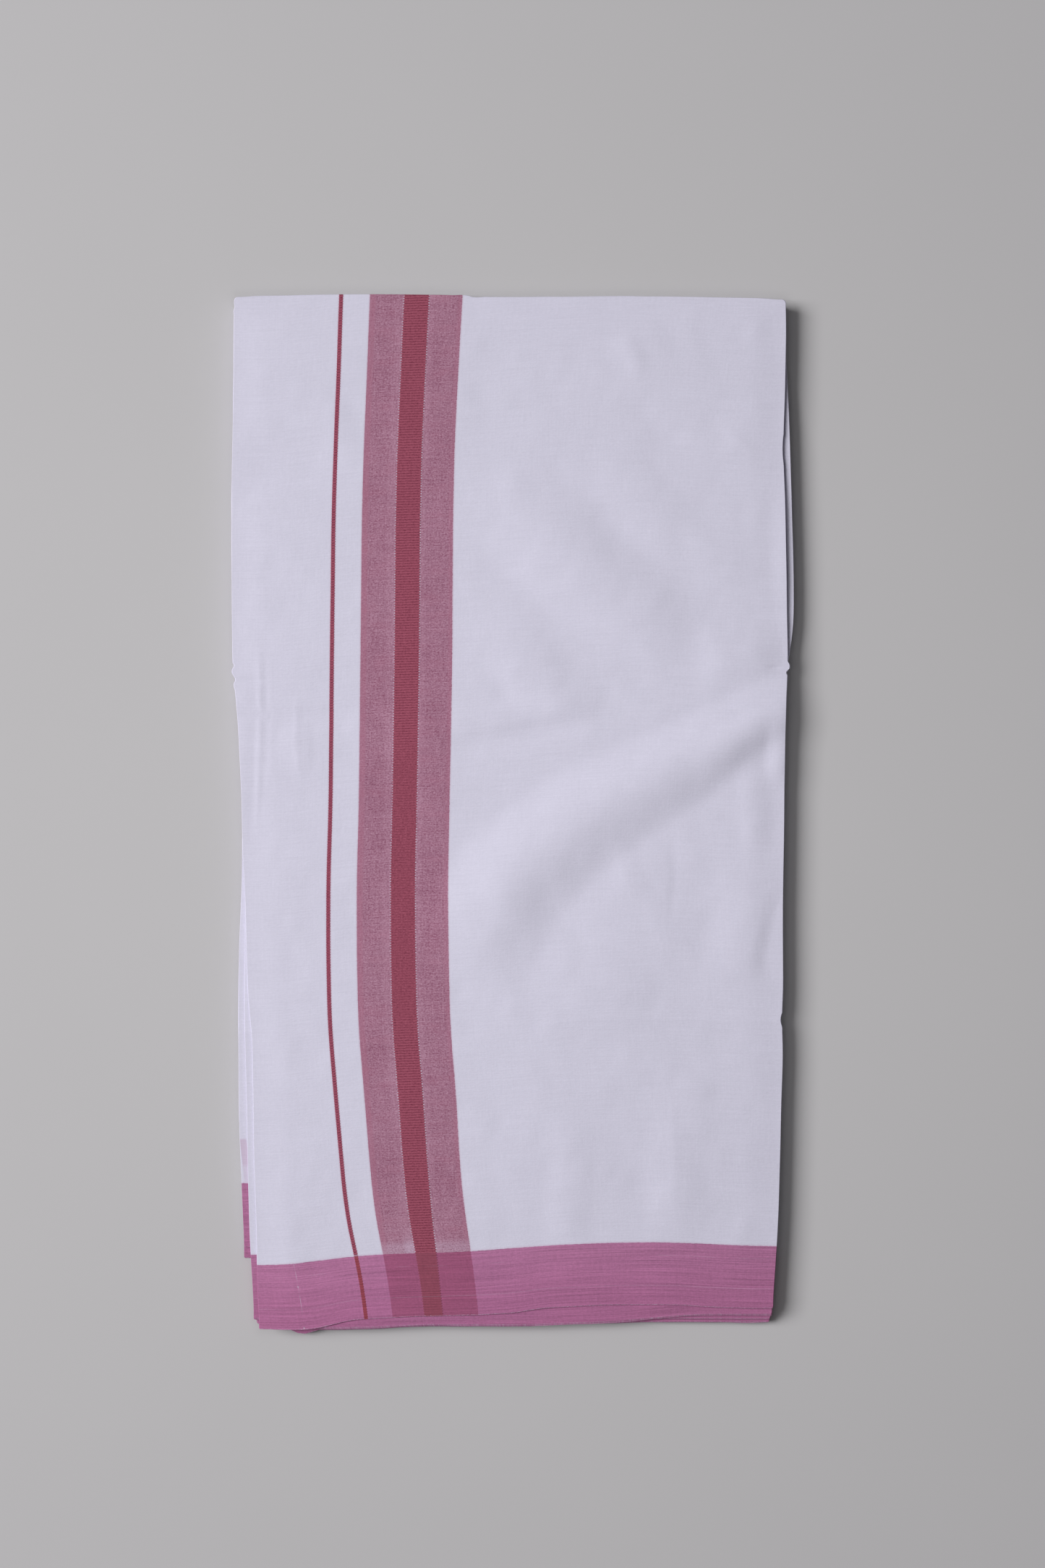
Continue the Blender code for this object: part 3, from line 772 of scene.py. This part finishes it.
def woven_cotton(name, weave, colours):
    """The dhoti's cloth: white ground, cross band with its stripe, thin line and selvedge border."""
    material = bpy.data.materials.new(name)
    material.use_nodes = True
    tree = material.node_tree
    shader = tree.nodes["Principled BSDF"]
    pattern = tree.nodes.new("ShaderNodeUVMap")
    pattern.uv_map = "weave"
    place = Signal(pattern.outputs["UV"])
    u, v = (place.node("ShaderNodeSeparateXYZ", None, {0: place}, axis) / MM for axis in (0, 1))

    band_width = BAND_WIDTH / MM
    b = u + band_width / 2.0
    border_width = BORDER_WIDTH / MM
    pitch = weave.rib_pitch / MM

    # Unevenness of the yarns: long and short streaks across, streaks up, a fine speckle, a broad cloud
    streak = u.grain(v, across=26.0, along=0.8, seed=1.0)
    short = u.grain(v, across=2.4, along=0.85, seed=2.0, detail=1.0)
    upright = u.grain(v, across=0.9, along=14.0, seed=3.0, detail=1.0)
    speckle = u.grain(v, across=1.05, along=0.8, seed=4.0, detail=1.0)
    cloud = u.grain(v, across=24.0, along=34.0, seed=5.0)

    # Ribs: 0 in a groove and 1 on a rib, less clear where the stripe is pressed flat
    rib = abs((v / pitch + upright * 0.06) % 1.0 - 0.5) * 2.0
    rib_seen = 1.0 - 0.6 * v.within(*STRIPE_PRESSED_V, 14.0)
    tooth = (rib - 0.5) * 0.8

    # Where the band, its stripe and the thin line run
    band = (b + speckle * 0.3).within(0.0, band_width, 0.25)
    stripe_start = weave.stripe_start / MM
    stripe_stop = weave.stripe_stop / MM - STRIPE_WIDENS_BY * (1.0 - v.rise(*STRIPE_WIDENS_V))
    stripe = (b + tooth - stripe_start).rise(-0.25, 0.25) * (stripe_stop - b + tooth).rise(-0.25, 0.25)
    line_place = b + weave.line_gap / MM
    line_half = weave.line_width / MM / 2.0
    line = (line_place + speckle * 0.15).within(-line_half - tooth * 0.3, line_half + tooth * 0.3, 0.25)

    # The band's chambray: dyed and undyed yarns, redder first picks, and paler by the stripe and at
    # its foot over the border
    beside = b.within(stripe_start - 5.0, stripe_start, 1.6) + (b - stripe_stop).within(0.0, 3.6, 1.4)
    mixed = 0.5 + speckle * 0.78 + short * 0.38 + streak * 0.34 + upright * 0.24 + cloud * 0.2
    mixed = mixed + beside * 0.1
    chambray = mixed.to(opaque(colours.dyed), opaque(colours.undyed))
    first = (1.0 - b.rise(2.6, 4.4)) * 0.75 + b.rise(band_width - 3.4, band_width - 1.6) * 0.5
    rosy = u.grain(v, across=24.0, along=7.0, seed=10.0).rise(-0.1, 0.6) * 0.5
    chambray = ((first + rosy) * 0.6).to(chambray, opaque(colours.band_edge))
    foot = (1.0 - v.rise(border_width + 4.0, border_width + 9.0)) * (0.24 + speckle * 0.2)
    wedge = (b - stripe_start).within(-6.0, 0.0, 2.0)
    wedge = wedge * (1.0 - v.rise(border_width + 3.0, border_width + 15.0))
    chambray = (foot + wedge * 0.22).to(chambray, opaque(colours.fringe))
    gap = 1.0 - rib.rise(0.2, 0.6)
    teeth = (b - stripe_start).within(-0.6, 0.2, 0.25) + (b - stripe_stop).within(-0.2, 0.6, 0.25)
    teeth = teeth * gap * (0.35 + speckle * 0.9)
    chambray = teeth.to(chambray, opaque(colours.white))

    # The ribbed stripe and line, with painted shade in the grooves between the ribs over uneven red yarns
    ribbing = 0.62 + (rib - 0.5) * rib_seen * 0.8 + speckle * 0.68 + short * 0.35 + upright * 0.15
    ribbing = ribbing - 0.1 * (1.0 - rib_seen)
    red = ribbing.to(opaque(colours.stripe_dark_yarn_and_groove_shade), opaque(colours.stripe))

    # The ground: plain white weave with slubs, a little darker below a line across its right part, with
    # pink let through beside the line and the band
    # 1.8% darker below the line at DARKER_GROUND_V, right of DARKER_GROUND_U
    thin = (1.0 - v.rise(*DARKER_GROUND_V)) * u.rise(*DARKER_GROUND_U)
    slubs = 1.0 + short * 0.05 + streak * 0.06 + upright * 0.03 + cloud * 0.03 - thin * 0.018
    ground = slubs.tint(colours.white)
    halo = line_place.within(-line_half - 0.5, line_half + 0.5, 0.5)
    halo = halo + b.within(-0.6, band_width + 0.6, 0.5)
    ground = (halo * 0.25).to(ground, opaque(colours.undyed))

    # Pink from a layer beneath, let through the narrow strip that the third panel shows at the left
    beneath = v.within(*SHOWS_CLEARLY_V, 0.9) * 0.31 + v.within(*SHOWS_FAINTLY_V, 0.5) * 0.16
    ground = (beneath * u.within(*SHOWS_THROUGH_U, 0.3)).to(ground, opaque(colours.border))
    cloth = line.to(ground, red)
    cloth = band.to(cloth, chambray)
    cloth = (stripe * band).to(cloth, red)

    # The selvedge border, with its darker and paler warp ends
    edge = v + short * 0.25
    border = 1.0 - edge.rise(border_width - 0.3, border_width + 0.3)
    fringe = (1.0 - edge.rise(border_width + 0.1, border_width + 1.4)) * (1.0 - border)
    ends = u.grain(v, across=60.0, along=0.75, seed=6.0)
    broad_ends = u.grain(v, across=190.0, along=3.0, seed=7.0)
    pink = v.rise(0.0, border_width).to(opaque(colours.border_low), opaque(colours.border))
    pink = band.to(pink, opaque(colours.crossing))
    pink = (stripe * band).to(pink, opaque(colours.stripe_crossing))
    pink = line.to(pink, opaque(colours.line_crossing))
    light_end = (v + broad_ends * 0.3).within(*LIGHT_END_V, 0.2) * (0.5 + ends * 1.4)
    broken_end = (v - BROKEN_END_V).within(-0.2, 0.2, 0.15)
    broken_end = broken_end * u.grain(v, across=26.0, along=2.0, seed=8.0, detail=1.0).rise(0.0, 0.3)
    lip = (v + short * 0.3).within(-0.3, 0.5, 0.2) * (0.5 + speckle * 1.4)
    pale = light_end * 0.26 + broken_end * 0.16 + lip * 0.45
    pink = (pale * (1.0 - line)).to(pink, opaque(colours.fringe))
    # Painted shade: the border is made 2% brighter at the left and darker towards the right, away from the
    # key light
    painted_shade_rightward = 0.02 - 0.08 * u.rise(-90.0, 240.0)
    uneven = ends * 0.42 + broad_ends * 0.12 + speckle * 0.12 + short * 0.18 + upright * 0.08
    pink = (1.0 + painted_shade_rightward + uneven).tint(pink)

    # One missed weft pick, which shows as a thin white thread with a knot
    thread = (u - MISSED_PICK_U + cloud * 0.6).within(-0.14, 0.14, 0.14)
    thread = thread * v.rise(*MISSED_PICK_STARTS_V) * (1.0 - v.rise(*MISSED_PICK_ENDS_V))
    thread = thread * (0.26 + u.grain(v, across=20.0, along=5.0, seed=9.0, detail=1.0) * 0.5)
    knot = sum((v - spot.v).within(-spot.half, spot.half, 0.5) for spot in KNOTS)
    knot = knot * (u - KNOT_U).within(-0.3, 0.3, 0.5)
    pink = (thread + knot * 0.7).to(pink, opaque(colours.white))

    cloth = (fringe * 0.5 * (1.0 - band)).to(cloth, opaque(colours.fringe))
    cloth = border.to(cloth, pink)
    tree.links.new(cloth.socket, shader.inputs["Base Color"])

    roughness = 0.88 + 0.06 * speckle - 0.05 * stripe
    tree.links.new(roughness.socket, shader.inputs["Roughness"])
    shader.inputs["Specular IOR Level"].default_value = 0.15
    shader.inputs["Sheen Weight"].default_value = 0.05
    shader.inputs["Sheen Roughness"].default_value = 0.5

    ribbed = stripe * band + line
    relief = (short + streak * 0.8 + upright * 0.3) * (weave.yarn_relief / MM) * (1.0 - 0.6 * ribbed)
    relief = relief + rib * rib_seen * ribbed * (weave.rib_height / MM)
    bump = relief.node("ShaderNodeBump", None, {"Strength": 1.0, "Distance": MM, "Height": relief})
    tree.links.new(bump.socket, shader.inputs["Normal"])
    return material


def cloth_material(context, slot):
    """The cloth's material for one slot, made once."""
    name = "woven_" + slot
    made = bpy.data.materials.get(name)
    return made or woven_cotton(name, context.scene.dhoti_weave, context.scene.dhoti_colours)


def lay_sheet(node):
    """Hide the solid that a piece of folded cloth stands for."""
    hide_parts(node)


class DHOTI_OT_top_panel(bpy.types.Operator):
    """Make the creased panel on top, with the cross band."""

    bl_idname = "dhoti.top_panel"
    bl_label = "Top Panel"

    def execute(self, context):
        stack = Stack(
            "top_leaf", TOP_PANEL, TOP_BUMPS, top_relief, TOP_ACROSS, TOP_ALONG, thickness=PANEL_THICKNESS,
        )
        piece = stack.finish("top_panel", cloth_material(context, "bordered_cotton"))
        lay_sheet("top_leaf")
        return {"FINISHED"}


class DHOTI_OT_panels_below(bpy.types.Operator):
    """Make the two panels whose edges show beside the top one."""

    bl_idname = "dhoti.panels_below"
    bl_label = "Panels Below"

    def execute(self, context):
        cotton = cloth_material(context, "bordered_cotton")
        for name, node, piece, shift, below in (
            ("second_panel", "second_leaf", SECOND_PANEL, FURTHER_ALONG, "third_panel"),
            ("third_panel", "third_leaf", THIRD_PANEL, PAST_THE_BAND, "double_panel"),
        ):
            made = Stack(node, piece, shift=shift).finish(name, cotton)
            lay_sheet(node)
        return {"FINISHED"}


class DHOTI_OT_double_panel(bpy.types.Operator):
    """Make the two panels joined by the fold that shows at the right."""

    bl_idname = "dhoti.double_panel"
    bl_label = "Double Panel"

    def execute(self, context):
        stack = Stack("lower_fold", LOWER_FOLD, relief=fold_relief, shift=FURTHER_ALONG)
        piece = stack.finish("double_panel", cloth_material(context, "bordered_cotton"))
        lay_sheet("lower_fold")
        return {"FINISHED"}


class DHOTI_OT_hidden_panels(bpy.types.Operator):
    """Make the hidden panels, with every layer at their edges."""

    bl_idname = "dhoti.hidden_panels"
    bl_label = "Hidden Panels"

    def execute(self, context):
        stack = Stack("folded_core", FOLDED_CORE, CORE_BUMPS, shift=FURTHER_ALONG)
        piece = stack.finish("hidden_panels", cloth_material(context, "folded_edges"))
        lay_sheet("folded_core")
        return {"FINISHED"}


class DHOTI_OT_bottom_panel(bpy.types.Operator):
    """Make the flat panel that the pile rests on."""

    bl_idname = "dhoti.bottom_panel"
    bl_label = "Bottom Panel"

    def execute(self, context):
        stack = Stack("bottom_leaf", BOTTOM_PANEL, shift=FURTHER_ALONG)
        piece = stack.finish("bottom_panel", cloth_material(context, "folded_edges"))
        lay_sheet("bottom_leaf")
        return {"FINISHED"}


# Soft square lights that face the pile: their places and sides
KEY_PLACE = (-4.1, 0.85, 3.75)
KEY_SIDE = 2.9
TOP_PLACE = (-0.02, -0.02, 0.62)
TOP_SIDE = 0.3
CAMERA_X = 6.13 * MM
CAMERA_Y = 18.18 * MM
FLOOR_SIDE = 8.0


def floor_material(shade):
    """Matt floor paint with the faintest unevenness."""
    material = bpy.data.materials.new("floor")
    material.use_nodes = True
    tree = material.node_tree
    shader = tree.nodes["Principled BSDF"]
    place = Signal(tree.nodes.new("ShaderNodeTexCoord").outputs["Object"])
    noise = place.node("ShaderNodeTexNoise", None, {"Vector": place, "Scale": 9.0, "Detail": 3.0})
    uneven = 0.99 + noise * 0.02
    tree.links.new(uneven.tint(shade).socket, shader.inputs["Base Color"])
    shader.inputs["Roughness"].default_value = 0.9
    return material


def add_light(name, power, place, side):
    """A soft square light that faces the pile and doesn't show itself."""
    light = bpy.data.lights.new(name, "AREA")
    light.energy = power
    light.shape = "SQUARE"
    light.size = side
    lamp = bpy.data.objects.new(name, light)
    lamp.location = place
    lamp.rotation_euler = lamp.location.to_track_quat("Z", "Y").to_euler()
    lamp.visible_camera = False
    bpy.context.scene.collection.objects.link(lamp)


class DHOTI_OT_stage(bpy.types.Operator):
    """Make the floor, the lights, the sky and the camera."""

    bl_idname = "dhoti.stage"
    bl_label = "Stage"

    def execute(self, context):
        stage = context.scene.dhoti_stage
        scene = context.scene
        flat = bmesh.new()
        bmesh.ops.create_grid(flat, x_segments=4, y_segments=4, size=FLOOR_SIDE / 2.0)
        data = bpy.data.meshes.new("floor")
        flat.to_mesh(data)
        flat.free()
        data.materials.append(floor_material(stage.floor))
        floor = bpy.data.objects.new("floor", data)
        scene.collection.objects.link(floor)

        add_light("key", stage.key_power, KEY_PLACE, KEY_SIDE)
        add_light("top", stage.top_power, TOP_PLACE, TOP_SIDE)

        world = bpy.data.worlds.new("studio")
        world.use_nodes = True
        background = world.node_tree.nodes["Background"]
        background.inputs["Color"].default_value = (1.0, 1.0, 1.0, 1.0)
        background.inputs["Strength"].default_value = stage.sky
        scene.world = world
        scene.view_settings.view_transform = "Standard"

        lens = bpy.data.cameras.new("camera")
        lens.lens = 50.0
        camera = bpy.data.objects.new("camera", lens)
        camera.location = (CAMERA_X, CAMERA_Y, stage.camera_height)
        scene.collection.objects.link(camera)
        scene.camera = camera
        return {"FINISHED"}


OPERATORS = (
    DHOTI_OT_stage,
    DHOTI_OT_bottom_panel,
    DHOTI_OT_hidden_panels,
    DHOTI_OT_double_panel,
    DHOTI_OT_panels_below,
    DHOTI_OT_top_panel,
)
GROUPS = {"dhoti_weave": DhotiWeave, "dhoti_colours": DhotiColours, "dhoti_stage": DhotiStage}


class DHOTI_PT_pile(bpy.types.Panel):
    """Everything that dresses the folded dhoti."""

    bl_label = "Folded Dhoti"
    bl_idname = "DHOTI_PT_pile"
    bl_space_type = "VIEW_3D"
    bl_region_type = "UI"
    bl_category = "Dhoti"

    def draw(self, context):
        for operator in OPERATORS:
            self.layout.operator(operator.bl_idname)
        for group in GROUPS:
            values = getattr(context.scene, group)
            box = self.layout.box()
            for name in values.bl_rna.properties.keys():
                if name not in ("rna_type", "name"):
                    box.prop(values, name)


def register():
    for made in (*GROUPS.values(), *OPERATORS, DHOTI_PT_pile):
        bpy.utils.register_class(made)
    for name, group in GROUPS.items():
        setattr(bpy.types.Scene, name, PointerProperty(type=group))


def unregister():
    for name in GROUPS:
        delattr(bpy.types.Scene, name)
    for made in reversed((*GROUPS.values(), *OPERATORS, DHOTI_PT_pile)):
        bpy.utils.unregister_class(made)


def main():
    register()
    bpy.ops.dhoti.stage()
    bpy.ops.dhoti.bottom_panel()
    bpy.ops.dhoti.hidden_panels()
    bpy.ops.dhoti.double_panel()
    bpy.ops.dhoti.panels_below()
    bpy.ops.dhoti.top_panel()


if __name__ == "__main__":
    main()
